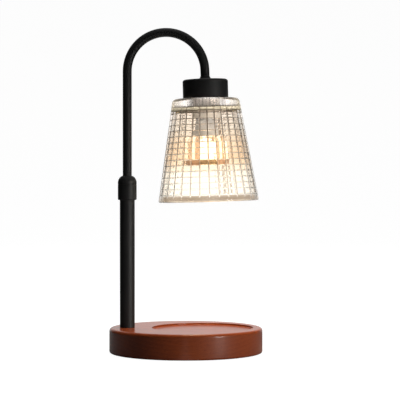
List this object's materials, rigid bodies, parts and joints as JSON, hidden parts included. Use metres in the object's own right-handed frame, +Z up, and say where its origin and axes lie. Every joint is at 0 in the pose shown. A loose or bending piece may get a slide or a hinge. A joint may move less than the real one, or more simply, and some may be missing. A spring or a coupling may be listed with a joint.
{
  "type": "candle warmer lamp",
  "caption": "Candle warmer lamp with a round wooden base, telescopic black gooseneck on a locking collar, and a reflector bulb in a ribbed clear glass cone shade.",
  "frame": {"origin": "centre of the round base, on the surface that the lamp stands on", "axes": "+Z up; +X from the pole towards the lamp head; +Y to the rear, where the cord enters"},
  "size_m": [0.15, 0.15, 0.3183],
  "materials": {
    "lacquered_wood": "gloss lacquer over reddish-brown stain",
    "black_powder_coat": "fine matte powder coat",
    "ribbed_glass": "clear pressed glass with a cut grid",
    "black_sheet": "matte paint on sheet steel",
    "grey_rubber": "closed-cell foam rubber",
    "zinc_steel": "bright zinc plate",
    "cast_weight": "as cast, dark primer",
    "black_nylon": "moulded nylon",
    "white_nylon": "moulded nylon",
    "brass_contacts": "plain brass",
    "nickel_pins": "nickel plate",
    "lead_sheath": "flexible sheath over copper cores",
    "sleeved_wire": "silicone sleeving on copper",
    "ceramic": "unglazed steatite ceramic",
    "threaded_phenolic": "moulded phenolic",
    "gasket_rubber": "silicone rubber",
    "bulb_glass": "pressed glass, mirror-coated inside",
    "bulb_front": "stippled front glass",
    "capsule_glass": "clear quartz capsule"
  },
  "bodies": {
    "base": {"wood_base": "lacquered_wood", "bottom_cover": "black_sheet", "bottom_pad": "grey_rubber", "cover_screws": "zinc_steel", "base_weight": "cast_weight", "weight_screws": "zinc_steel", "pole_tube": "black_powder_coat", "pole_key": "zinc_steel", "foot_stud": "zinc_steel", "pole_washer": "zinc_steel", "pole_nut": "zinc_steel", "collar_collet": "white_nylon", "cord_gland": "black_nylon", "gland_nut": "black_nylon", "terminal_block": "white_nylon", "terminal_screws": "brass_contacts", "block_screw": "zinc_steel", "base_lead": "lead_sheath", "slack_lead": "lead_sheath"},
    "collar": {"collar_nut": "black_powder_coat", "collar_dome": "black_powder_coat"},
    "slider": {"guide_bush": "white_nylon"},
    "arm": {"arm_tube": "black_powder_coat", "stop_collar": "zinc_steel", "retaining_ring": "zinc_steel", "arm_lead": "lead_sheath", "neck_ferrule": "black_powder_coat", "cap_cup": "black_powder_coat", "holder_bracket": "zinc_steel", "cap_washer": "zinc_steel", "cap_nut": "zinc_steel", "lampholder": "ceramic", "holder_contacts": "brass_contacts", "holder_screws": "zinc_steel", "holder_leads": "sleeved_wire", "glass_shade": "ribbed_glass", "shade_gasket": "gasket_rubber", "shade_ring": "threaded_phenolic"},
    "bulb": {"bulb_reflector": "bulb_glass", "bulb_lens": "bulb_front", "bulb_capsule": "capsule_glass", "bulb_pins": "nickel_pins", "bulb_neck": "bulb_glass"}
  },
  "joints": [
    {"name": "collar_turn", "type": "hinge", "parent": "base", "child": "collar", "pos_m": [-0.0574, 0, 0.16], "axis": [0, 0, 1], "range_deg": [0, 180]},
    {"name": "arm_height", "type": "slide", "parent": "base", "child": "slider", "axis": [0, 0, 1], "range_m": [-0.042, 0.045], "deforming": ["slack_lead"]},
    {"name": "arm_swivel", "type": "hinge", "parent": "slider", "child": "arm", "pos_m": [-0.0574, 0, 0.095], "axis": [0, 0, 1], "range_deg": [-170, 170]},
    {"name": "bulb_twist", "type": "hinge", "parent": "arm", "child": "bulb", "pos_m": [0.02233, 0, 0.14685], "axis": [-0.0288, 0, 0.9996], "range_deg": [-18, 0]}
  ]
}
